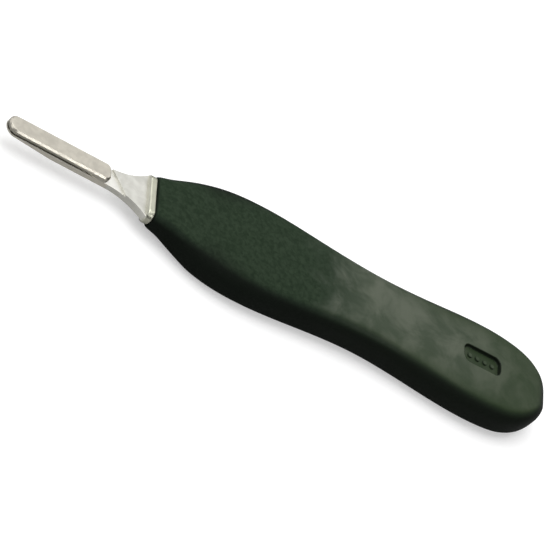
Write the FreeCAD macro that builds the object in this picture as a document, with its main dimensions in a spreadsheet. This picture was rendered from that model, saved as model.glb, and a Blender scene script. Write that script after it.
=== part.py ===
import FreeCAD, Part
import math
import os
import re

import Sketcher
from FreeCAD import Vector

# Scalpel handle: a forged steel blade holder whose flat tang is moulded into a plastic grip.
# X runs from the blade end to the rear end, Y across the handle, Z up through its thickness.
# Inside each body X counts from the blade end, and Z from the middle plane of neck and tang.
# Every length is in millimetres, and shoulder_slant is in degrees.
SIZES = {
    # Bayonet fitting that a replaceable blade slides on to
    "boss_length": 27.2,
    "boss_width": 4.7,
    "boss_height": 2.9,
    "nose_radius": 2.2,
    "heel_radius": 1.5,
    "edge_bevel": 0.4,
    "seat_height": 1.4,
    "slot_height": 0.5,
    "slot_depth": 0.7,
    "slot_length": 20.5,
    "slot_runout": 4.0,
    "nose_bevel_length": 12.5,
    "nose_thickness": 1.8,
    # Flat neck that flares to the collar, with a slanted shoulder behind the blade
    "neck_length": 10.3,
    "neck_thickness": 1.9,
    "neck_end_width": 11.8,
    "shoulder_gap": 2.6,
    "shoulder_slant": 36.0,
    # Collar that the plastic butts against
    "collar_length": 1.9,
    "collar_width": 12.6,
    "collar_thickness": 4.2,
    "collar_corner": 1.9,
    "collar_round": 0.45,
    # Flat tang hidden in the grip
    "tang_length": 62.0,
    "tang_width": 8.0,
    "tang_root_corner": 0.5,
    "tang_corner": 2.5,
    # Moulded grip, with its stations measured from the back of the collar
    "grip_length": 109.4,
    "front_width": 13.3,
    "front_thickness": 5.2,
    "front_corner": 2.2,
    "throat_at": 6.0,
    "throat_width": 17.2,
    "throat_thickness": 7.2,
    "throat_corner": 3.0,
    "cheek_at": 15.0,
    "cheek_width": 24.3,
    "cheek_crest": 4.1,
    "bulge_at": 28.0,
    "bulge_width": 26.7,
    "bulge_crest": 4.8,
    "flank_at": 44.0,
    "flank_width": 23.3,
    "flank_crest": 5.1,
    "waist_at": 60.0,
    "waist_width": 20.8,
    "waist_crest": 5.1,
    "palm_at": 76.0,
    "palm_width": 23.3,
    "palm_crest": 4.7,
    "rear_width": 24.8,
    "rear_crest": 4.9,
    "dome_length": 15.0,
    "dome_squareness": 1.87,
    "end_rounding": 5.2,
    "edge_radius": 3.8,
    "crown_radius": 60.0,
    "underside_depth": 4.4,
    "rest_land": 0.15,
    # Sunk label window on the upper side of the grip, with plain round pips on its floor
    "window_at": 89.2,
    "window_length": 10.4,
    "window_width": 5.2,
    "window_corner": 1.8,
    "window_depth": 1.0,
    "pip_diameter": 1.3,
    "pip_pitch": 2.1,
    "pip_height": 0.35,
}
PIP_COUNT = 4
# The sections of the rounded rear end crowd towards its tip by this power
DOME_STATIONS = 7
DOME_CROWDING = 3
# How far a cut runs past the material, and how close two levels count as one
CLEAR = 3.0
SAME_LEVEL = 1e-4

doc = FreeCAD.newDocument("ScalpelHandle")
sheet = doc.addObject("Spreadsheet::Sheet", "Sizes")
for row, (alias, value) in enumerate(SIZES.items(), start=1):
    sheet.set("A%d" % row, alias)
    sheet.set("B%d" % row, str(value))
    sheet.setAlias("B%d" % row, alias)
doc.recompute()


def number(formula):
    """Value of a formula written in the sheet's own names."""
    result = sheet.evalExpression(str(formula))
    return float(getattr(result, "Value", result))


def bind(thing, path, formula):
    """Tie a property or a sketch dimension to a formula written in the sheet's own names."""
    linked = re.sub(r"\b([a-z]+_[a-z_]+)\b", r"Sizes.\1", str(formula))
    thing.setExpression(path, linked)


def new_body(label):
    body = doc.addObject("PartDesign::Body", label)
    body.Label = label
    return body


def new_sketch(body, name, plane, level):
    """Empty sketch on one of the body's origin planes, lifted along the plane's normal."""
    sketch = body.newObject("Sketcher::SketchObject", name)
    origin_plane = [item for item in body.Origin.OriginFeatures if item.Role == plane][0]
    sketch.AttachmentSupport = [(origin_plane, "")]
    sketch.MapMode = "FlatFace"
    bind(sketch, "AttachmentOffset.Base.z", level)
    return sketch


def dimension(sketch, kind, targets, formula):
    """Driving dimension of a sketch, tied to the sheet."""
    index = sketch.addConstraint(Sketcher.Constraint(kind, *targets, number(formula)))
    bind(sketch, "Constraints[%d]" % index, formula)


def pin(sketch, element, vertex, across, along):
    """Place one vertex of a sketch by its distances from the sketch's origin."""
    dimension(sketch, "DistanceX", (element, vertex), across)
    dimension(sketch, "DistanceY", (element, vertex), along)


def straight(sketch, start, end):
    line = Part.LineSegment(Vector(start[0], start[1], 0), Vector(end[0], end[1], 0))
    return sketch.addGeometry(line, False)


def arc(sketch, centre, radius, start_angle, end_angle):
    circle = Part.Circle(Vector(centre[0], centre[1], 0), Vector(0, 0, 1), radius)
    return sketch.addGeometry(Part.ArcOfCircle(circle, start_angle, end_angle), False)


def join(sketch, kind, first, second):
    """Join the end of one element to the start of the next, Coincident or Tangent."""
    sketch.addConstraint(Sketcher.Constraint(kind, first, 2, second, 1))


def polygon(sketch, corners):
    """Closed outline of straight edges whose corners are pairs of formulas."""
    points = [(number(x), number(y)) for x, y in corners]
    edges = [straight(sketch, a, b) for a, b in zip(points, points[1:] + points[:1])]
    for edge, following in zip(edges, edges[1:] + edges[:1]):
        join(sketch, "Coincident", edge, following)
    for edge, (x, y) in zip(edges, corners):
        pin(sketch, edge, 1, x, y)


def rounded_box(sketch, low_x, high_x, width, low_radius, high_radius):
    """Rectangle centred on the X axis, with one corner radius at each end."""
    x0, x1, half = number(low_x), number(high_x), number(width) / 2
    low, high = number(low_radius), number(high_radius)
    quarter = math.pi / 2
    edges = [
        straight(sketch, (x0 + low, -half), (x1 - high, -half)),
        arc(sketch, (x1 - high, -half + high), high, -quarter, 0),
        straight(sketch, (x1, -half + high), (x1, half - high)),
        arc(sketch, (x1 - high, half - high), high, 0, quarter),
        straight(sketch, (x1 - high, half), (x0 + low, half)),
        arc(sketch, (x0 + low, half - low), low, quarter, 2 * quarter),
        straight(sketch, (x0, half - low), (x0, -half + low)),
        arc(sketch, (x0 + low, -half + low), low, 2 * quarter, 3 * quarter),
    ]
    for edge, following in zip(edges, edges[1:] + edges[:1]):
        join(sketch, "Tangent", edge, following)
    sketch.addConstraint(Sketcher.Constraint("Horizontal", edges[0]))
    sketch.addConstraint(Sketcher.Constraint("Vertical", edges[2]))
    sketch.addConstraint(Sketcher.Constraint("Horizontal", edges[4]))
    sketch.addConstraint(Sketcher.Constraint("Vertical", edges[6]))
    sketch.addConstraint(Sketcher.Constraint("Equal", edges[1], edges[3]))
    sketch.addConstraint(Sketcher.Constraint("Equal", edges[5], edges[7]))
    dimension(sketch, "Radius", (edges[1],), high_radius)
    dimension(sketch, "Radius", (edges[5],), low_radius)
    dimension(sketch, "DistanceX", (edges[6], 1), low_x)
    dimension(sketch, "DistanceX", (edges[2], 1), high_x)
    dimension(sketch, "DistanceY", (edges[4], 1), "(%s) / 2" % width)
    dimension(sketch, "DistanceY", (edges[0], 1), "-(%s) / 2" % width)


def pad(body, sketch, name, length, midplane=False):
    feature = body.newObject("PartDesign::Pad", name)
    feature.Profile = sketch
    feature.Midplane = midplane
    bind(feature, "Length", length)
    return feature


def pocket(body, sketch, name, length, upward=False, midplane=False):
    """Cut below the sketch, or above it where upward is set."""
    feature = body.newObject("PartDesign::Pocket", name)
    feature.Profile = sketch
    feature.Reversed = upward
    feature.Midplane = midplane
    bind(feature, "Length", length)
    return feature


def edges_where(feature, wanted):
    """Names of the edges of a feature whose bounding box passes a test."""
    edges = enumerate(feature.Shape.Edges, start=1)
    return ["Edge%d" % index for index, edge in edges if wanted(edge.BoundBox)]


def near(a, b):
    return abs(a - b) < SAME_LEVEL


# Distances along the handle, in the sheet's names
NECK_END = "boss_length + neck_length"
COLLAR_MIDDLE = "boss_length + neck_length + collar_length / 2"
COLLAR_BACK = "boss_length + neck_length + collar_length"
UNDERFACE = "-neck_thickness / 2"
SEAT = "seat_height - neck_thickness / 2"
BOSS_TOP = "boss_height - neck_thickness / 2"


def make_neck(body):
    """Flat plate that flares along two concave arcs and runs into the middle of the collar."""
    sketch = new_sketch(body, "NeckOutline", "XY_Plane", UNDERFACE)
    root, end = number("boss_length - heel_radius"), number(NECK_END)
    turn, inside = number("boss_length"), number(COLLAR_MIDDLE)
    half, flared = number("boss_width") / 2, number("neck_end_width") / 2
    rise = flared - half
    radius = ((end - turn) ** 2 + rise ** 2) / (2 * rise)
    sweep = math.asin((end - turn) / radius)
    down = -math.pi / 2
    edges = [
        straight(sketch, (root, -half), (turn, -half)),
        arc(sketch, (turn, -half - radius), radius, math.pi / 2 - sweep, math.pi / 2),
        straight(sketch, (end, -flared), (inside, -flared)),
        straight(sketch, (inside, -flared), (inside, flared)),
        straight(sketch, (inside, flared), (end, flared)),
        arc(sketch, (turn, half + radius), radius, down, down + sweep),
        straight(sketch, (turn, half), (root, half)),
        straight(sketch, (root, half), (root, -half)),
    ]
    joints = [
        (edges[0], 2, edges[1], 2),
        (edges[1], 1, edges[2], 1),
        (edges[2], 2, edges[3], 1),
        (edges[3], 2, edges[4], 1),
        (edges[4], 2, edges[5], 2),
        (edges[5], 1, edges[6], 1),
        (edges[6], 2, edges[7], 1),
        (edges[7], 2, edges[0], 1),
    ]
    for joint in joints:
        sketch.addConstraint(Sketcher.Constraint("Coincident", *joint))
    pin(sketch, edges[0], 1, "boss_length - heel_radius", "-boss_width / 2")
    pin(sketch, edges[0], 2, "boss_length", "-boss_width / 2")
    pin(sketch, edges[2], 1, NECK_END, "-neck_end_width / 2")
    pin(sketch, edges[3], 1, COLLAR_MIDDLE, "-neck_end_width / 2")
    pin(sketch, edges[3], 2, COLLAR_MIDDLE, "neck_end_width / 2")
    pin(sketch, edges[4], 2, NECK_END, "neck_end_width / 2")
    pin(sketch, edges[6], 1, "boss_length", "boss_width / 2")
    pin(sketch, edges[6], 2, "boss_length - heel_radius", "boss_width / 2")
    dimension(sketch, "DistanceX", (edges[1], 3), "boss_length")
    dimension(sketch, "DistanceX", (edges[5], 3), "boss_length")
    pad(body, sketch, "Neck", "neck_thickness")


def cut_blade_seat(body):
    """Step the neck down to the blade's seat, as far as the slanted shoulder."""
    sketch = new_sketch(body, "ShoulderLine", "XY_Plane", SEAT)
    front = "boss_length - heel_radius - %g" % CLEAR
    reach = "neck_end_width / 2"
    shoulder = "boss_length + shoulder_gap"
    slope = "neck_end_width / 2 * tan(shoulder_slant)"
    polygon(sketch, [
        (front, "-%s" % reach),
        ("%s + %s" % (shoulder, slope), "-%s" % reach),
        ("%s - %s" % (shoulder, slope), reach),
        (front, reach),
    ])
    pocket(body, sketch, "BladeSeat", "neck_thickness", upward=True)


def make_boss(body):
    """Long boss with a rounded nose and heel, undercut by a slot for the blade's edges."""
    sketch = new_sketch(body, "BossOutline", "XY_Plane", UNDERFACE)
    rounded_box(sketch, "0", "boss_length", "boss_width", "nose_radius", "heel_radius")
    pad(body, sketch, "Boss", "boss_height")
    sketch = new_sketch(body, "SlotOutline", "XY_Plane", SEAT)
    runout = "slot_length + slot_runout"
    stem = "boss_width / 2 - slot_depth"
    side = "boss_width / 2"
    outside = "boss_width / 2 + %g" % CLEAR
    polygon(sketch, [
        (runout, outside),
        ("-%g" % CLEAR, outside),
        ("-%g" % CLEAR, "-(%s)" % outside),
        (runout, "-(%s)" % outside),
        (runout, "-(%s)" % side),
        ("slot_length", "-(%s)" % stem),
        ("slot_depth", "-(%s)" % stem),
        ("slot_depth", stem),
        ("slot_length", stem),
        (runout, side),
    ])
    pocket(body, sketch, "BladeSlot", "slot_height", upward=True)
    sketch = new_sketch(body, "NoseSlope", "XZ_Plane", "0")
    tip_level = "%s - nose_thickness" % BOSS_TOP
    polygon(sketch, [
        ("0", tip_level),
        ("-%g" % CLEAR, tip_level),
        ("-%g" % CLEAR, "%s - %g" % (UNDERFACE, CLEAR)),
        ("nose_bevel_length", "%s - %g" % (UNDERFACE, CLEAR)),
        ("nose_bevel_length", UNDERFACE),
    ])
    return pocket(body, sketch, "NoseBevel", "boss_width + %g" % CLEAR, midplane=True)


def bevel_boss(body, base):
    top = number(BOSS_TOP)
    names = edges_where(base, lambda box: near(box.ZMin, top) and near(box.ZMax, top))
    feature = body.newObject("PartDesign::Chamfer", "BossBevel")
    feature.Base = (base, names)
    bind(feature, "Size", "edge_bevel")
    return feature


def make_collar(body):
    """Flat collar with rounded ends, whose two rims are rounded before the neck joins it."""
    sketch = new_sketch(body, "CollarOutline", "YZ_Plane", NECK_END)
    rounded_box(sketch, "-collar_width / 2", "collar_width / 2", "collar_thickness",
                "collar_corner", "collar_corner")
    collar = pad(body, sketch, "Collar", "collar_length")
    doc.recompute()
    feature = body.newObject("PartDesign::Fillet", "CollarRims")
    feature.Base = (collar, edges_where(collar, lambda box: near(box.XMin, box.XMax)))
    bind(feature, "Radius", "collar_round")


def tang_outline(body, name):
    """Plan of the tang, which the cavity in the grip repeats."""
    sketch = new_sketch(body, name, "XY_Plane", "0")
    tip = "%s + tang_length" % COLLAR_BACK
    rounded_box(sketch, COLLAR_BACK, tip, "tang_width", "tang_root_corner", "tang_corner")
    return sketch


def make_blade_holder():
    body = new_body("blade_holder")
    make_collar(body)
    make_neck(body)
    cut_blade_seat(body)
    nose = make_boss(body)
    doc.recompute()
    bevel_boss(body, nose)
    pad(body, tang_outline(body, "TangOutline"), "Tang", "neck_thickness", midplane=True)
    return body


def grip_section(body, name, station, width, crest, depth, corner):
    """Cross-section of the grip: flat underside, upright sides and a crowned top."""
    sketch = new_sketch(body, name, "YZ_Plane", "%s + %s" % (COLLAR_BACK, station))
    half, top, low = number(width) / 2, number(crest), number(depth)
    radius, crown = number(corner), number("crown_radius")
    reach = half - radius
    crown_centre = top - crown
    shoulder = crown_centre + math.sqrt((crown - radius) ** 2 - reach ** 2)
    lean = math.atan2(shoulder - crown_centre, reach)
    quarter = math.pi / 2
    edges = [
        straight(sketch, (-reach, -low), (reach, -low)),
        arc(sketch, (reach, radius - low), radius, -quarter, 0),
        straight(sketch, (half, radius - low), (half, shoulder)),
        arc(sketch, (reach, shoulder), radius, 0, lean),
        arc(sketch, (0, crown_centre), crown, lean, math.pi - lean),
        arc(sketch, (-reach, shoulder), radius, math.pi - lean, math.pi),
        straight(sketch, (-half, shoulder), (-half, radius - low)),
        arc(sketch, (-reach, radius - low), radius, math.pi, 3 * quarter),
    ]
    for edge, following in zip(edges, edges[1:] + edges[:1]):
        join(sketch, "Tangent", edge, following)
    sketch.addConstraint(Sketcher.Constraint("Vertical", edges[2]))
    sketch.addConstraint(Sketcher.Constraint("Vertical", edges[6]))
    sketch.addConstraint(Sketcher.Constraint("Symmetric", edges[0], 1, edges[0], 2, -2))
    sketch.addConstraint(Sketcher.Constraint("PointOnObject", edges[4], 3, -2))
    for rounded in (edges[3], edges[5], edges[7]):
        sketch.addConstraint(Sketcher.Constraint("Equal", edges[1], rounded))
    dimension(sketch, "Radius", (edges[1],), corner)
    dimension(sketch, "Radius", (edges[4],), "crown_radius")
    dimension(sketch, "DistanceX", (edges[6], 1, edges[2], 2), width)
    dimension(sketch, "DistanceY", (edges[0], 1), "-(%s)" % depth)
    dimension(sketch, "DistanceY", (edges[4], 3), "%s - crown_radius" % crest)
    return sketch


def grip_stations():
    """Stations of the grip: place, width, crest, depth and corner radius, as formulas."""
    belly = "underside_depth + rest_land"
    stations = [
        ("0", "front_width", "front_thickness / 2", "front_thickness / 2", "front_corner"),
        ("throat_at", "throat_width", "throat_thickness / 2", "throat_thickness / 2",
         "throat_corner"),
    ]
    for part in ("cheek", "bulge", "flank", "waist", "palm"):
        stations.append((part + "_at", part + "_width", part + "_crest", belly, "edge_radius"))
    dome_start = "grip_length - dome_length"
    stations.append((dome_start, "rear_width", "rear_crest", belly, "edge_radius"))
    for step in range(1, DOME_STATIONS):
        run = 1 - (1 - step / DOME_STATIONS) ** DOME_CROWDING
        narrowing = superellipse("%.5f" % run)
        into_end = 1 - (1 - run) * number("dome_length / end_rounding")
        thinning = superellipse("%.5f" % max(into_end, 0))
        stations.append((
            "%s + dome_length * %.5f" % (dome_start, run),
            "rear_width * %s" % narrowing,
            "rear_crest * %s" % thinning,
            "(%s) * %s" % (belly, thinning),
            "edge_radius * %s" % thinning,
        ))
    return stations


def superellipse(run):
    """Share of the full breadth left at a share of the way into the rounded end."""
    return "(1 - %s ^ dome_squareness) ^ (1 / dome_squareness)" % run


def make_grip():
    body = new_body("grip")
    sections = []
    for index, station in enumerate(grip_stations()):
        sections.append(grip_section(body, "Section%02d" % index, *station))
    loft = body.newObject("PartDesign::AdditiveLoft", "GripForm")
    loft.Profile = sections[0]
    loft.Sections = sections[1:]
    loft.Ruled = False
    doc.recompute()

    sketch = new_sketch(body, "RestPlane", "XY_Plane", "-underside_depth")
    rear = "%s + grip_length + %g" % (COLLAR_BACK, CLEAR)
    side = "rear_width"
    polygon(sketch, [(COLLAR_BACK, "-" + side), (rear, "-" + side), (rear, side), (COLLAR_BACK, side)])
    pocket(body, sketch, "RestFace", "rest_land + %g" % CLEAR)

    pocket(body, tang_outline(body, "CavityOutline"), "TangCavity", "neck_thickness", midplane=True)

    floor = "rear_crest - window_depth"
    centre = "%s + window_at" % COLLAR_BACK
    sketch = new_sketch(body, "WindowOutline", "XY_Plane", floor)
    rounded_box(sketch, "%s - window_length / 2" % centre, "%s + window_length / 2" % centre,
                "window_width", "window_corner", "window_corner")
    pocket(body, sketch, "LabelWindow", "window_depth + %g" % CLEAR, upward=True)

    sketch = new_sketch(body, "PipOutline", "XY_Plane", floor)
    first = "%s - pip_pitch * %g" % (centre, (PIP_COUNT - 1) / 2)
    pip = Part.Circle(Vector(number(first), 0, 0), Vector(0, 0, 1), number("pip_diameter / 2"))
    sketch.addGeometry(pip, False)
    dimension(sketch, "DistanceX", (0, 3), first)
    sketch.addConstraint(Sketcher.Constraint("PointOnObject", 0, 3, -1))
    dimension(sketch, "Diameter", (0,), "pip_diameter")
    pip_pad = pad(body, sketch, "Pip", "pip_height")
    doc.recompute()
    row = body.newObject("PartDesign::LinearPattern", "PipRow")
    row.Originals = [pip_pad]
    row.Direction = (sketch, ["H_Axis"])
    bind(row, "Length", "pip_pitch * %d" % (PIP_COUNT - 1))
    row.Occurrences = PIP_COUNT
    body.Tip = row
    return body


def place(body):
    """Stand the handle on its underside, with the middle of its length at X = 0."""
    bind(body, "Placement.Base.x", "-(%s + grip_length) / 2" % COLLAR_BACK)
    bind(body, "Placement.Base.z", "underside_depth")


bodies = [make_blade_holder(), make_grip()]
for body in bodies:
    place(body)
doc.recompute()

for item in doc.Objects:
    if "Invalid" in item.State or "Error" in item.State:
        raise RuntimeError("%s failed: %s" % (item.Name, item.State))
for body in bodies:
    if body.Shape.isNull() or not body.Shape.isValid():
        raise RuntimeError("%s has no valid shape" % body.Label)

os.makedirs("parts", exist_ok=True)
for body in bodies:
    body.Shape.exportStep("parts/%s.step" % body.Label)
    print(body.Label, "solids", len(body.Shape.Solids), "volume %.1f" % body.Shape.Volume, body.Shape.BoundBox)
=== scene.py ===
from math import cos, pi, radians, sin

import bmesh
import bpy
from mathutils import Matrix, Vector


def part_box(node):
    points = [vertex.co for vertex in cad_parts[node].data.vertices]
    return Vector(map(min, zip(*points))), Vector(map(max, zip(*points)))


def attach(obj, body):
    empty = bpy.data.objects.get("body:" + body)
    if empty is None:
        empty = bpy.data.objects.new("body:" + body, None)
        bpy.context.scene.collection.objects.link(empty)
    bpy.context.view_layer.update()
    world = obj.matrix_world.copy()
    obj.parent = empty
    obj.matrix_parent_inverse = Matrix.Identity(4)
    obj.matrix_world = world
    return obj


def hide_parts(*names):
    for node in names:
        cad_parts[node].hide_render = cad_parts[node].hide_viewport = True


# Looks of the scalpel handle: satin steel blade holder in a dark green-black plastic grip.
# Lengths are in metres and MM turns millimetres into them. X runs from the blade end to the rear.
MM = 0.001

# Camera, as the handle lies in the picture
VIEW_TURN = radians(-26.0)
VIEW_TILT = radians(46.0)
VIEW_ROLL = radians(27.88)
VIEW_DISTANCE = 1500 * MM
PIXELS_PER_MM = 4.510
PICTURE_WIDTH = 550
SENSOR_WIDTH = 36.0
AIM_ACROSS, AIM_DOWN = -3.45, 6.41

# Grip: the plane of its widest girth, the crown of its top and the rounding of its long edges
GIRTH_LEVEL = 4.4 * MM
HANDLE_MIDDLE = Vector((0, 0, GIRTH_LEVEL))
CROWN_RADIUS = 60 * MM
CORNER_MOST = 3.8 * MM
CORNER_SHARE = 0.41
REST_LAND = 0.15 * MM
FRONT_RIM = 0.35 * MM
# The profile is measured by rays from outside at this many places, which crowd to the rear end.
# The rays for crest and keel run this share of the half width aside, clear of the label window.
PROFILE_POINTS = 60
PROFILE_CROWDING = 1.8
ASIDE_SHARE = 0.3
RAY_START = 0.1

# Label window, whose middle is measured from the rear end, and the pips on its floor
WINDOW_FROM_REAR = 20.15 * MM
WINDOW_LENGTH = 10.4 * MM
WINDOW_WIDTH = 5.2 * MM
WINDOW_CORNER = 1.8 * MM
WINDOW_WALL = 0.4 * MM
PIP_COUNT = 4
PIP_PITCH = 2.1 * MM
PIP_RADIUS = 0.65 * MM
PIP_HEIGHT = 0.35 * MM
PIP_DRAFT = 0.15 * MM

# Steel: where the boss and the collar lie, and the levels of the blade's seat and the top bevel
BOSS_HEEL = -47.2 * MM
COLLAR_FRONT = -36.9 * MM
SEAT_LEVEL = 4.85 * MM
BEVEL_LEVEL = 5.95 * MM
# Edges sharper than this are softened by a narrow round
SHARP_ANGLE = radians(35)
EDGE_ROUND = 0.12 * MM
# Faces that meet at less than the flat angle are merged, and above the crease angle shade sharply
FLAT_ANGLE = radians(1)
CREASE_ANGLE = radians(50)
MERGE_GAP = 0.001 * MM

# Steel colours, each pair from the duller to the brighter patches; the boss, neck and collar tones
# of the one steel are a painted reflection
NECK_TONES = (0.56, 0.555, 0.51), (0.66, 0.655, 0.61)
BOSS_TONES = (0.47, 0.445, 0.385), (0.56, 0.53, 0.46)
COLLAR_TONES = (0.42, 0.425, 0.34), (0.49, 0.495, 0.40)
HAIRLINE_TONE = (0.68, 0.66, 0.60)
# Tone of the polished edges, also used for a painted highlight on the blade's seat
POLISH_AND_HIGHLIGHT_TONE = (0.82, 0.81, 0.76)
# Painted shade on the steel's side faces
STEEL_SIDE_SHADE_TONE = (0.26, 0.255, 0.22)
# Painted shade in the boss's groove
GROOVE_SHADE_TONE = (0.10, 0.10, 0.08)

# Plastic colours: smooth rear, lighter on top where worn and as a painted sheen, grained front with
# its speckle, scuffs, and painted shade on the roundings, sides and window walls
REAR_WEAR_AND_SHEEN_TONES = (0.016, 0.031, 0.010), (0.042, 0.056, 0.028)
FRONT_TONE = (0.012, 0.023, 0.0115)
SPECKLE_TONE = (0.027, 0.043, 0.025)
SCUFF_TONE = (0.055, 0.068, 0.048)
ROUNDING_SHADE_TONE = (0.009, 0.015, 0.010)
SIDE_SHADE_TONE = (0.003, 0.0045, 0.003)
WALL_SHADE_TONE = (0.001, 0.002, 0.001)
# The grain fades out between these places along the grip, and its edge wanders by this much
GRAIN_FULL, GRAIN_GONE, GRAIN_WANDER = 4 * MM, 21 * MM, 6 * MM
PEBBLE_SIZE = 0.55 * MM
FINE_GRAIN_SIZE = 0.35 * MM
# Wear polishes the top from the first of these levels up to the second, and less so at the rear;
# the same mask lightens the top's colour there, partly as a painted sheen
SHEEN_WEAR_NONE, SHEEN_WEAR_FULL = 7.6 * MM, 9.3 * MM
SHEEN_WEAR_FADES, SHEEN_WEAR_FADED, SHEEN_WEAR_AT_REAR = 44 * MM, 68 * MM, 0.45
# Painted shade darkens the side from the first of these levels down to the second. Both lie lower
# in the thin front and higher at the rear end, which set in and are complete at these places along
# the handle.
SIDE_SHADE_TOP, SIDE_SHADE_DARK = 8.6 * MM, 7.2 * MM
FRONT_SETS_IN, FRONT_COMPLETE, FRONT_DROP = -18 * MM, -36 * MM, 1.8 * MM
REAR_SETS_IN, REAR_COMPLETE, REAR_RISE = 63 * MM, 74 * MM, 0.8 * MM

# Studio: name, place in metres, width and power of each square light
SOFTBOXES = (
    ("far_softbox", (0.50, 0.70, 0.72), 1.1, 3.7),
    ("overhead_softbox", (-0.15, 0.15, 1.15), 1.1, 12.0),
    ("near_spot", (0.34, -0.62, 0.65), 0.25, 1.3),
    ("left_fill", (-0.60, 0.72, 0.58), 1.0, 4.0),
    ("tip_fill", (-0.80, -0.22, 0.70), 0.7, 2.4),
)
SKY_STRENGTH = 0.06
FLOOR_HALF = 1.5
FLOOR_TONE = 0.64
# The floor is brighter to the camera than to the handle, as the picture's background is cut out
FLOOR_GLOW = 0.45


class Number:
    """Number inside a node tree, on which arithmetic adds Math nodes."""

    def __init__(self, tree, socket):
        self.tree = tree
        self.socket = socket

    def math(self, operation, *others):
        return maths(self.tree, operation, self, *others)

    def __add__(self, other):
        return self.math("ADD", other)

    def __sub__(self, other):
        return self.math("SUBTRACT", other)

    def __mul__(self, other):
        return self.math("MULTIPLY", other)

    def __truediv__(self, other):
        return self.math("DIVIDE", other)

    def __pow__(self, other):
        return self.math("POWER", other)

    def __rsub__(self, other):
        return maths(self.tree, "SUBTRACT", other, self)

    def __rtruediv__(self, other):
        return maths(self.tree, "DIVIDE", other, self)

    __radd__ = __add__
    __rmul__ = __mul__

    def root(self):
        return self.math("SQRT")

    def size(self):
        return self.math("ABSOLUTE")

    def least(self, other):
        return self.math("MINIMUM", other)

    def most(self, other):
        return self.math("MAXIMUM", other)

    def above(self, limit):
        return self.math("GREATER_THAN", limit)

    def towards(self, goal, share):
        """Value that moves from this number to the goal as the share goes from 0 to 1."""
        return self + (goal - self) * share

    def ramp(self, start, end, low=0.0, high=1.0):
        """Smooth step from low to high while this number goes from start to end."""
        node = add(self.tree, "ShaderNodeMapRange", {
            "Value": self, "From Min": start, "From Max": end, "To Min": low, "To Max": high,
        }, interpolation_type="SMOOTHSTEP")
        return Number(self.tree, node.outputs["Result"])


def plug(tree, target, feed):
    """Feed an input with a number, a socket or a plain value."""
    if isinstance(feed, Number):
        feed = feed.socket
    if isinstance(feed, bpy.types.NodeSocket):
        tree.links.new(feed, target)
    else:
        target.default_value = feed


def add(tree, kind, feeds=None, **settings):
    """New node with its settings made and its inputs fed by name."""
    node = tree.nodes.new(kind)
    for name, setting in settings.items():
        setattr(node, name, setting)
    for name, feed in (feeds or {}).items():
        plug(tree, node.inputs[name], feed)
    return node


def maths(tree, operation, *terms):
    node = add(tree, "ShaderNodeMath", operation=operation)
    for slot, term in zip(node.inputs, terms):
        plug(tree, slot, term)
    return Number(tree, node.outputs[0])


def split(tree, vector):
    """The three numbers of a vector."""
    parts = add(tree, "ShaderNodeSeparateXYZ", {"Vector": vector}).outputs
    return [Number(tree, part) for part in parts]


def joined(tree, x, y, z):
    return add(tree, "ShaderNodeCombineXYZ", {"X": x, "Y": y, "Z": z}).outputs["Vector"]


def new_group(name, kind, inputs, outputs):
    """Node group with named inputs and outputs, returned with the sockets of both by name."""
    tree = bpy.data.node_groups.new(name, kind)
    for title, socket in inputs.items():
        tree.interface.new_socket(title, in_out="INPUT", socket_type="NodeSocket" + socket)
    for title, socket in outputs.items():
        tree.interface.new_socket(title, in_out="OUTPUT", socket_type="NodeSocket" + socket)
    entry = tree.nodes.new("NodeGroupInput").outputs
    leave = tree.nodes.new("NodeGroupOutput").inputs
    numbers = {title: Number(tree, entry[title]) for title in inputs}
    return tree, numbers, leave


# Grip skin


def even(start, end, step):
    """Evenly spread values from start up to, but without, end, about one step apart."""
    count = max(1, round(abs(end - start) / step))
    return [start + (end - start) * index / count for index in range(count)]


def grip_rings():
    """Rings of the skin: share of the profile, then push, inset and shut at the ends."""
    shut_front = [(0.0, (0, 1, 1))]
    rim = []
    for step in range(5):
        turn = pi / 2 * step / 4
        rim.append((0.0, (1 - cos(turn), 1 - sin(turn), 0)))
    shares = even(0.006, 0.67, 0.0055) + even(0.67, 0.87, 0.0011) + even(0.87, 1.0, 0.0045)
    body = [(share, (0, 0, 0)) for share in shares + [1.0]]
    shut_rear = [(1.0, (0, 0, 1))]
    return shut_front + rim + body + shut_rear


def grip_columns():
    """Places round a section, as across, up and turn; a turn of 2 means on the crown."""
    half = [(across, 0, -1) for across in even(0, 1, 0.2)]
    half += [(1, 0, turn) for turn in even(-1, 0, 0.11)]
    half += [(1, up, 0) for up in even(0, 1, 0.5)]
    half += [(1, 1, turn) for turn in even(0, 1, 0.11)]
    crown = even(1, 0.36, 0.06) + even(0.36, 0, 0.0135)
    half += [(across, 1, 2) for across in crown]
    other = [(-across, up, turn) for across, up, turn in reversed(half)]
    return half + [(0, 1, 2)] + other


def grip_lattice():
    """Open sheet of quads, each vertex knowing its ring and its column on the grip."""
    rings, columns = grip_rings(), grip_columns()
    width = len(columns)
    points = [(share, 0, 0) for share, _ in rings for _ in columns]
    faces = []
    for ring in range(len(rings) - 1):
        for column in range(width - 1):
            corner = ring * width + column
            faces.append((corner, corner + 1, corner + width + 1, corner + width))
    mesh = bpy.data.meshes.new("grip_lattice")
    mesh.from_pydata(points, [], faces)
    ends = mesh.attributes.new("ends", "FLOAT_VECTOR", "POINT")
    around = mesh.attributes.new("around", "FLOAT_VECTOR", "POINT")
    for row, (_, end) in enumerate(rings):
        for column, place in enumerate(columns):
            ends.data[row * width + column].vector = end
            around.data[row * width + column].vector = place
    lattice = bpy.data.objects.new("grip_lattice", mesh)
    bpy.context.scene.collection.objects.link(lattice)
    return lattice


def hit(tree, solid, source, direction):
    """Numbers of the point where a ray first meets the solid."""
    node = add(tree, "GeometryNodeRaycast", {
        "Target Geometry": solid, "Source Position": source, "Ray Direction": direction,
        "Ray Length": 1.0,
    })
    return split(tree, node.outputs["Hit Position"])


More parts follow.
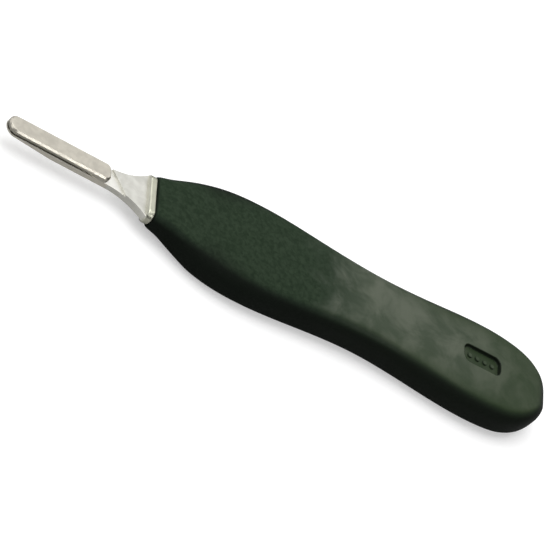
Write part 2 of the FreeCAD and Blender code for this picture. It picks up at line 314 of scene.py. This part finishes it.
def profile_curve(tree, solid, size):
    """Smooth curve whose points hold length, half width and crest, and the keel by name."""
    line = add(tree, "GeometryNodeCurvePrimitiveLine")
    spread = add(tree, "GeometryNodeResampleCurve", {
        "Curve": line.outputs["Curve"], "Count": PROFILE_POINTS,
    })
    index = Number(tree, add(tree, "GeometryNodeInputIndex").outputs["Index"])
    share = index / (PROFILE_POINTS - 1)
    hair = 0.005 * MM
    length = size["Rear"] - size["Front"] - 2 * hair
    along = size["Rear"] - hair - length * (1 - share) ** PROFILE_CROWDING
    girth = GIRTH_LEVEL - 0.1 * MM
    side = hit(tree, solid, joined(tree, along, RAY_START, girth), (0, -1, 0))[1]
    aside = side * ASIDE_SHARE
    above = hit(tree, solid, joined(tree, along, aside, RAY_START), (0, 0, -1))[2]
    crest = above + aside * aside / (2 * CROWN_RADIUS)
    keel = hit(tree, solid, joined(tree, along, aside, -RAY_START), (0, 0, 1))[2]
    kept = add(tree, "GeometryNodeStoreNamedAttribute", {
        "Geometry": spread.outputs["Curve"], "Name": "keel",
        "Value": keel - keel.ramp(2 * REST_LAND, 0) * REST_LAND,
    }, domain="POINT", data_type="FLOAT")
    placed = add(tree, "GeometryNodeSetPosition", {
        "Geometry": kept.outputs["Geometry"], "Position": joined(tree, along, side, crest),
    })
    smooth = add(tree, "GeometryNodeCurveSplineType", {
        "Curve": placed.outputs["Geometry"],
    }, spline_type="CATMULL_ROM")
    return smooth.outputs["Curve"]


def named_vector(tree, name):
    node = add(tree, "GeometryNodeInputNamedAttribute", {"Name": name}, data_type="FLOAT_VECTOR")
    return split(tree, node.outputs["Attribute"])


def section_point(tree, curve, size):
    """Place of each lattice vertex on the grip's form."""
    push, inset, shut = named_vector(tree, "ends")
    across, up, turn = named_vector(tree, "around")
    share = split(tree, add(tree, "GeometryNodeInputPosition").outputs["Position"])[0]
    keel_value = add(tree, "GeometryNodeInputNamedAttribute", {"Name": "keel"}, data_type="FLOAT")
    sample = add(tree, "GeometryNodeSampleCurve", {
        "Curves": curve, "Value": keel_value.outputs["Attribute"], "Factor": share,
    }, mode="FACTOR", data_type="FLOAT", use_all_curves=True)
    along, half, crest = split(tree, sample.outputs["Position"])
    keel = Number(tree, sample.outputs["Value"])

    corner = ((crest - keel) * CORNER_SHARE).least(CORNER_MOST)
    offset = inset * size["Front rim"]
    crown = size["Crown radius"]
    reach = half - corner
    corner_round = corner - offset
    low, top = keel + corner, crest - crown
    shoulder = top + ((crown - corner) ** 2 - reach * reach).root()
    steepest = (reach / (crown - corner)).math("ARCCOSINE")
    angle = turn.above(0) * turn * steepest + (1 - turn.above(0)) * turn * (pi / 2)
    corner_y = across * reach + across.math("SIGN") * angle.math("COSINE") * corner_round
    corner_z = low.towards(shoulder, up) + angle.math("SINE") * corner_round
    crown_y = across * reach * (crown - offset) / (crown - corner)
    crown_z = top + ((crown - offset) ** 2 - crown_y * crown_y).root()
    on_crown = turn.above(1.5)
    y = corner_y.towards(crown_y, on_crown)
    z = corner_z.towards(crown_z, on_crown).most(0)
    open_end = 1 - shut
    x = along + push * size["Front rim"]
    return x, y * open_end, (z - GIRTH_LEVEL) * open_end + GIRTH_LEVEL, on_crown


def window_sink(tree, x, y, size):
    """How far a point lies inside the label window's rounded outline: 0 outside, 1 on its floor."""
    corner = size["Window corner"]
    over_x = (x - size["Window middle"]).size() - size["Window length"] / 2 + corner
    over_y = y.size() - size["Window width"] / 2 + corner
    outer = (over_x.most(0) ** 2 + over_y.most(0) ** 2).root()
    distance = outer + over_x.most(over_y).least(0) - corner
    return distance.ramp(0.15 * WINDOW_WALL, -0.85 * WINDOW_WALL)


def pip_row(tree, floor, size):
    """Plain round pips along the middle of the window's floor."""
    pip = add(tree, "GeometryNodeMeshCone", {
        "Vertices": 32, "Radius Bottom": size["Pip radius"],
        "Radius Top": size["Pip radius"] - PIP_DRAFT, "Depth": size["Pip height"],
    })
    first = size["Window middle"] - size["Pip pitch"] * ((PIP_COUNT - 1) / 2)
    line = add(tree, "GeometryNodeMeshLine", {
        "Count": PIP_COUNT, "Start Location": joined(tree, first, 0.0, floor),
        "Offset": joined(tree, size["Pip pitch"], 0.0, 0.0),
    }, mode="OFFSET")
    row = add(tree, "GeometryNodeInstanceOnPoints", {
        "Points": line.outputs["Mesh"], "Instance": pip.outputs["Mesh"],
    })
    return row.outputs["Instances"]


def make_grip(solid, material):
    """Smooth moulded skin that takes its width, crest and keel from the CAD grip."""
    low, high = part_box("grip")
    sizes = {
        "Front": low[0], "Rear": high[0], "Crown radius": CROWN_RADIUS, "Front rim": FRONT_RIM,
        "Window middle": high[0] - WINDOW_FROM_REAR, "Window length": WINDOW_LENGTH,
        "Window width": WINDOW_WIDTH, "Window corner": WINDOW_CORNER,
        "Pip pitch": PIP_PITCH, "Pip radius": PIP_RADIUS, "Pip height": PIP_HEIGHT,
    }
    inputs = {"Lattice": "Geometry", "Solid": "Object", "Material": "Material"}
    inputs.update({name: "Float" for name in sizes})
    tree, size, leave = new_group("grip_skin", "GeometryNodeTree", inputs, {"Skin": "Geometry"})
    solid_info = add(tree, "GeometryNodeObjectInfo", {"Object": size["Solid"]})
    form = solid_info.outputs["Geometry"]
    curve = profile_curve(tree, form, size)
    x, y, z, on_crown = section_point(tree, curve, size)
    middle = joined(tree, size["Window middle"], 0.0, RAY_START)
    floor = hit(tree, form, middle, (0, 0, -1))[2]
    sink = window_sink(tree, x, y, size) * on_crown
    # Band of the window's walls, kept for the plastic's painted shade there
    marked = add(tree, "GeometryNodeStoreNamedAttribute", {
        "Geometry": size["Lattice"], "Name": "wall", "Value": sink * (1 - sink) * 4,
    }, domain="POINT", data_type="FLOAT")
    sunk = joined(tree, x, y, z.towards(floor, sink))
    skin = add(tree, "GeometryNodeSetPosition", {
        "Geometry": marked.outputs["Geometry"], "Position": sunk,
    })
    closed = add(tree, "GeometryNodeMergeByDistance", {
        "Geometry": skin.outputs["Geometry"], "Distance": MERGE_GAP,
    })
    both = add(tree, "GeometryNodeJoinGeometry")
    tree.links.new(pip_row(tree, floor, size), both.inputs[0])
    tree.links.new(closed.outputs["Geometry"], both.inputs[0])
    real = add(tree, "GeometryNodeRealizeInstances", {"Geometry": both.outputs[0]})
    finish = add(tree, "GeometryNodeSetMaterial", {
        "Geometry": real.outputs[0], "Material": size["Material"],
    })
    tree.links.new(finish.outputs[0], leave["Skin"])

    lattice = grip_lattice()
    modifier = lattice.modifiers.new("grip_skin", "NODES")
    modifier.node_group = tree
    values = dict(sizes, Solid=solid, Material=material)
    for item in tree.interface.items_tree:
        if item.name in values:
            modifier[item.identifier] = values[item.name]
    piece = plain_piece(lattice, "moulded_grip")
    piece.data.shade_smooth()
    piece.data.set_sharp_from_angle(angle=CREASE_ANGLE)
    return piece


def plain_piece(holder, name):
    """New object with the holder's evaluated shape as a plain mesh, in place of the holder."""
    view = bpy.context.evaluated_depsgraph_get()
    mesh = bpy.data.meshes.new_from_object(holder.evaluated_get(view))
    mesh.name = name
    for spare in list(mesh.attributes):
        if spare.name in ("ends", "around", "keel"):
            mesh.attributes.remove(spare)
    piece = bpy.data.objects.new(name, mesh)
    bpy.context.scene.collection.objects.link(piece)
    bpy.data.objects.remove(holder)
    return piece


# Steel blade holder


def make_blade_holder(solid, material):
    """Merged copy of the CAD form whose sharp edges get a narrow polished round."""
    shape = bmesh.new()
    shape.from_mesh(solid.data)
    bmesh.ops.remove_doubles(shape, verts=shape.verts, dist=MERGE_GAP)
    bmesh.ops.dissolve_limit(shape, angle_limit=FLAT_ANGLE, verts=shape.verts, edges=shape.edges)
    sharp = [
        edge for edge in shape.edges
        if len(edge.link_faces) == 2 and edge.calc_face_angle() > SHARP_ANGLE
    ]
    polish = shape.verts.layers.float.new("edge")
    bevel = bmesh.ops.bevel(
        shape, geom=sharp, offset=EDGE_ROUND, segments=2, profile=0.5,
        affect="EDGES", clamp_overlap=True,
    )
    rounds = set(bevel["faces"])
    for vertex in bevel["verts"]:
        vertex[polish] = 1 if rounds.issuperset(vertex.link_faces) else 0
    bmesh.ops.triangulate(shape, faces=[face for face in shape.faces if len(face.verts) > 4])
    mesh = bpy.data.meshes.new("blade_holder_form")
    shape.to_mesh(mesh)
    shape.free()
    mesh.materials.append(material)
    mesh.shade_smooth()
    mesh.set_sharp_from_angle(angle=CREASE_ANGLE)
    holder = bpy.data.objects.new("blade_holder_form", mesh)
    bpy.context.scene.collection.objects.link(holder)
    flats = holder.modifiers.new("flat_faces", "WEIGHTED_NORMAL")
    flats.keep_sharp = True
    return plain_piece(holder, "steel_blade_holder")


# Finishes


def noise(tree, vector, detail, roughness=0.5, distortion=0.0):
    node = add(tree, "ShaderNodeTexNoise", {
        "Vector": vector, "Scale": 1.0, "Detail": detail, "Roughness": roughness,
        "Distortion": distortion,
    })
    return Number(tree, node.outputs["Fac"])


def scaled(tree, vector, x, y, z):
    factors = joined(tree, x, y, z)
    node = add(tree, "ShaderNodeVectorMath", {0: vector, 1: factors}, operation="MULTIPLY")
    return node.outputs["Vector"]


def hairline_group():
    """Fine lines that run along the handle, as on brushed steel or handled plastic."""
    tree, value, leave = new_group(
        "hairlines", "ShaderNodeTree",
        {"Place": "Vector", "Line length": "Float", "Line width": "Float", "Coverage": "Float"},
        {"Lines": "Float", "Depth": "Float"},
    )
    along = 1 / MM / value["Line length"]
    across = 1 / MM / value["Line width"]
    wave = noise(tree, scaled(tree, value["Place"], along, across, across), 5.0, 0.75)
    lines = wave.ramp(0.75 - value["Coverage"] * 0.5, 0.8)
    plug(tree, leave["Lines"], lines)
    plug(tree, leave["Depth"], wave)
    return tree


def patch_group():
    """Soft uneven patches, as handling and polishing leave them."""
    tree, value, leave = new_group(
        "uneven_patches", "ShaderNodeTree",
        {"Place": "Vector", "Patch size": "Float", "Low": "Float", "High": "Float"},
        {"Level": "Float"},
    )
    scale = 1 / MM / value["Patch size"]
    wave = noise(tree, scaled(tree, value["Place"], scale, scale, scale), 3.0, 0.6, 0.4)
    plug(tree, leave["Level"], wave.ramp(0.3, 0.7, value["Low"], value["High"]))
    return tree


def new_material(name):
    material = bpy.data.materials.new(name)
    material.use_nodes = True
    tree = material.node_tree
    place = add(tree, "ShaderNodeTexCoord").outputs["Object"]
    return material, tree, tree.nodes["Principled BSDF"], place


def placed_group(tree, group, feeds):
    node = add(tree, "ShaderNodeGroup", node_tree=group)
    for name, feed in feeds.items():
        plug(tree, node.inputs[name], feed)
    return {name: Number(tree, socket) for name, socket in node.outputs.items()}


def blended(tree, share, first, second):
    """Colour between two, by a share. In and out go by place, as a mix node repeats its names."""
    first, second = [(*tone, 1) if isinstance(tone, tuple) else tone for tone in (first, second)]
    feeds = {0: share, 6: first, 7: second}
    node = add(tree, "ShaderNodeMix", feeds, data_type="RGBA", clamp_factor=True)
    return node.outputs[2]


def bumped(tree, shader, height, distance):
    node = add(tree, "ShaderNodeBump", {"Height": height, "Distance": distance, "Strength": 1.0})
    tree.links.new(node.outputs["Normal"], shader.inputs["Normal"])


def satin_steel(hairlines, patches):
    material, tree, shader, place = new_material("satin_steel")
    brushed = placed_group(tree, hairlines, {
        "Place": place, "Line length": 9.0, "Line width": 0.12, "Coverage": 0.5,
    })
    cloud = placed_group(tree, patches, {
        "Place": place, "Patch size": 2.5, "Low": 0.0, "High": 1.0,
    })
    edge = Number(tree, add(tree, "ShaderNodeAttribute", attribute_name="edge").outputs["Fac"])
    along, _, level = split(tree, place)
    rearward, _, upward = split(tree, add(tree, "ShaderNodeNewGeometry").outputs["Normal"])
    # The blade's seat, facing up, gets a painted highlight in the polished tone
    seat_highlight = upward.ramp(0.9, 0.98) * level.ramp(SEAT_LEVEL + 0.1 * MM, SEAT_LEVEL + 0.05 * MM)
    on_boss = along.ramp(BOSS_HEEL + 0.2 * MM, BOSS_HEEL)
    shoulder = rearward.ramp(-0.4, -0.7) * (1 - on_boss)
    # Painted shade on faces that stand upright, except the neck's shoulder, and less on the boss
    side = upward.size().ramp(0.6, 0.1) * (1 - shoulder)
    on_collar = along.ramp(COLLAR_FRONT - 0.2 * MM, COLLAR_FRONT + 0.3 * MM)
    # Painted shade in the boss's groove, between the seat and the bevel, weaker towards the heel
    above_seat = level.ramp(SEAT_LEVEL, SEAT_LEVEL + 0.05 * MM)
    groove_shade = above_seat * level.ramp(BEVEL_LEVEL, BEVEL_LEVEL - 0.1 * MM)
    groove_shade = groove_shade * on_boss * along.ramp(BOSS_HEEL, BOSS_HEEL - 14 * MM, 0.55, 1.0)
    # Separate tones for the boss, neck and collar of the one steel, a painted reflection
    neck_tone = blended(tree, cloud["Level"], *NECK_TONES)
    boss_tone = blended(tree, cloud["Level"], *BOSS_TONES)
    collar_tone = blended(tree, cloud["Level"], *COLLAR_TONES)
    tone = blended(tree, on_collar, blended(tree, on_boss, neck_tone, boss_tone), collar_tone)
    lined = blended(tree, brushed["Lines"] * 0.4, tone, HAIRLINE_TONE)
    polished = blended(tree, edge.most(seat_highlight * 0.8), lined, POLISH_AND_HIGHLIGHT_TONE)
    with_side_shade = blended(tree, side * (0.40 - on_boss * 0.25), polished, STEEL_SIDE_SHADE_TONE)
    groove_shaded = blended(tree, groove_shade * 0.55, with_side_shade, GROOVE_SHADE_TONE)
    plug(tree, shader.inputs["Base Color"], groove_shaded)
    roughness = 0.30 + cloud["Level"] * 0.08 + brushed["Lines"] * 0.06 - edge * 0.10 + side * 0.08
    plug(tree, shader.inputs["Roughness"], roughness)
    shader.inputs["Metallic"].default_value = 1.0
    bumped(tree, shader, brushed["Depth"], 0.012 * MM)
    return material


def moulded_plastic(hairlines, patches):
    material, tree, shader, place = new_material("green_black_plastic")
    along, _, level = split(tree, place)
    cloud = placed_group(tree, patches, {
        "Place": place, "Patch size": 7.0, "Low": 0.0, "High": 1.0,
    })
    uneven = along + (cloud["Level"] - 0.5) * GRAIN_WANDER
    grained = uneven.ramp(GRAIN_GONE, GRAIN_FULL)
    # Wear on the top of the smooth part, which also carries a painted sheen
    top_wear_and_sheen = level.ramp(SHEEN_WEAR_NONE, SHEEN_WEAR_FULL) * (1 - grained)
    wear_and_sheen = top_wear_and_sheen * along.ramp(SHEEN_WEAR_FADED, SHEEN_WEAR_FADES, SHEEN_WEAR_AT_REAR, 1.0)
    # Painted shade on the grip's side, below the top
    lifted = level + along.ramp(FRONT_SETS_IN, FRONT_COMPLETE) * FRONT_DROP
    lifted = lifted - along.ramp(REAR_SETS_IN, REAR_COMPLETE) * REAR_RISE
    plastic_side_shade = lifted.ramp(SIDE_SHADE_TOP, SIDE_SHADE_DARK)
    # Painted shade on the label window's walls
    wall = Number(tree, add(tree, "ShaderNodeAttribute", attribute_name="wall").outputs["Fac"])
    pebbles = add(tree, "ShaderNodeTexVoronoi", {
        "Vector": place, "Scale": 1 / PEBBLE_SIZE, "Smoothness": 0.6,
    }, feature="SMOOTH_F1")
    pebble = Number(tree, pebbles.outputs["Distance"])
    fine = noise(tree, scaled(tree, place, *[1 / FINE_GRAIN_SIZE] * 3), 3.0, 0.6)
    mottle = placed_group(tree, patches, {
        "Place": place, "Patch size": 1.1, "Low": 0.0, "High": 1.0,
    })
    scuffs = placed_group(tree, hairlines, {
        "Place": place, "Line length": 6.0, "Line width": 0.25, "Coverage": 0.12,
    })
    # The rear lightens where worn, partly a painted sheen
    rear = blended(tree, cloud["Level"] * wear_and_sheen, *REAR_WEAR_AND_SHEEN_TONES)
    front = blended(tree, grained, rear, FRONT_TONE)
    speckled = blended(tree, grained * mottle["Level"] * 0.7, front, SPECKLE_TONE)
    scuffed = blended(tree, scuffs["Lines"] * 0.3, speckled, SCUFF_TONE)
    upward = split(tree, add(tree, "ShaderNodeNewGeometry").outputs["Normal"])[2]
    # Painted shade on faces that lean away from up
    rounding_shade = blended(tree, upward.ramp(0.98, 0.80) * 0.6, scuffed, ROUNDING_SHADE_TONE)
    with_side_shade = blended(tree, plastic_side_shade * 0.88, rounding_shade, SIDE_SHADE_TONE)
    plug(tree, shader.inputs["Base Color"], blended(tree, wall * 0.9, with_side_shade, WALL_SHADE_TONE))
    roughness = 0.66 + cloud["Level"] * 0.06 + grained * 0.12 + scuffs["Lines"] * 0.05
    plug(tree, shader.inputs["Roughness"], roughness)
    plug(tree, shader.inputs["Coat Weight"], wear_and_sheen * (0.6 + cloud["Level"] * 0.4) * (1 - wall))
    shader.inputs["Coat Roughness"].default_value = 0.40
    shader.inputs["Specular IOR Level"].default_value = 0.09
    height = (pebble * 0.6 + fine * 0.5) * grained + fine * 0.12 * (1 - grained)
    bumped(tree, shader, height, 0.05 * MM)
    return material


# Studio


def make_camera():
    """Camera at the picture's angle, its roll lying the handle down to the right."""
    sine, cosine = sin(VIEW_TILT), cos(VIEW_TILT)
    back = Vector((sin(VIEW_TURN), -sine * cos(VIEW_TURN), cosine * cos(VIEW_TURN)))
    level = Vector((cos(VIEW_TURN), sine * sin(VIEW_TURN), -cosine * sin(VIEW_TURN)))
    plumb = Vector((0, -cosine, -sine))
    right = level * cos(VIEW_ROLL) - plumb * sin(VIEW_ROLL)
    down = level * sin(VIEW_ROLL) + plumb * cos(VIEW_ROLL)
    aim = (right * AIM_ACROSS + down * AIM_DOWN) * MM / PIXELS_PER_MM
    place = HANDLE_MIDDLE + aim + back * VIEW_DISTANCE
    data = bpy.data.cameras.new("camera")
    data.sensor_width = SENSOR_WIDTH
    data.lens = PIXELS_PER_MM / MM * VIEW_DISTANCE / PICTURE_WIDTH * SENSOR_WIDTH
    data.clip_start, data.clip_end = 0.05, 20
    camera = bpy.data.objects.new("camera", data)
    bpy.context.scene.collection.objects.link(camera)
    turned = Matrix((right, -down, back)).transposed().to_4x4()
    camera.matrix_world = Matrix.Translation(place) @ turned
    bpy.context.scene.camera = camera


def make_floor():
    """Plain pale sheet that the handle lies on."""
    mesh = bpy.data.meshes.new("floor")
    signs = (-1, -1), (1, -1), (1, 1), (-1, 1)
    corners = [(x * FLOOR_HALF, y * FLOOR_HALF, 0) for x, y in signs]
    mesh.from_pydata(corners, [], [(0, 1, 2, 3)])
    floor = bpy.data.objects.new("floor", mesh)
    bpy.context.scene.collection.objects.link(floor)
    material = bpy.data.materials.new("pale_floor")
    material.use_nodes = True
    tree = material.node_tree
    shader = tree.nodes["Principled BSDF"]
    shader.inputs["Base Color"].default_value = (FLOOR_TONE, FLOOR_TONE, FLOOR_TONE, 1)
    shader.inputs["Roughness"].default_value = 0.9
    shader.inputs["Specular IOR Level"].default_value = 0.1
    seen = Number(tree, add(tree, "ShaderNodeLightPath").outputs["Is Camera Ray"])
    plug(tree, shader.inputs["Emission Color"], seen * FLOOR_GLOW)
    shader.inputs["Emission Strength"].default_value = 1.0
    mesh.materials.append(material)


def make_softbox(name, place, size, power):
    """Square area light that faces the handle."""
    data = bpy.data.lights.new(name, "AREA")
    data.shape = "SQUARE"
    data.size = size
    data.energy = power
    light = bpy.data.objects.new(name, data)
    light.location = place
    light.rotation_mode = "QUATERNION"
    light.rotation_quaternion = (Vector(place) - HANDLE_MIDDLE).to_track_quat("Z", "Y")
    bpy.context.scene.collection.objects.link(light)


def make_lights():
    for name, place, size, power in SOFTBOXES:
        make_softbox(name, place, size, power)
    world = bpy.data.worlds.new("studio")
    world.use_nodes = True
    background = world.node_tree.nodes["Background"]
    background.inputs["Color"].default_value = (1, 1, 1, 1)
    background.inputs["Strength"].default_value = SKY_STRENGTH
    bpy.context.scene.world = world
    bpy.context.scene.view_settings.view_transform = "Standard"


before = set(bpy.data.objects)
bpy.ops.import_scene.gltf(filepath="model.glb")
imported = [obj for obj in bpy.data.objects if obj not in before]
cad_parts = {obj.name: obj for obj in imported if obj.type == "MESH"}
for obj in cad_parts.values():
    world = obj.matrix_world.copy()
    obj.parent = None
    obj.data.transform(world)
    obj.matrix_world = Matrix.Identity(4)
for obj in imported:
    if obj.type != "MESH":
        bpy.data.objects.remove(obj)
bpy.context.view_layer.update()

hairlines, patches = hairline_group(), patch_group()
steel_finish = satin_steel(hairlines, patches)
plastic_finish = moulded_plastic(hairlines, patches)

blade_holder = make_blade_holder(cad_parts["blade_holder"], steel_finish)
grip = make_grip(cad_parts["grip"], plastic_finish)
dressed = (blade_holder, "blade_holder", "steel"), (grip, "grip", "grip_plastic")
for piece, node, slot in dressed:
    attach(piece, "root")
    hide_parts(node)

make_floor()
make_lights()
make_camera()
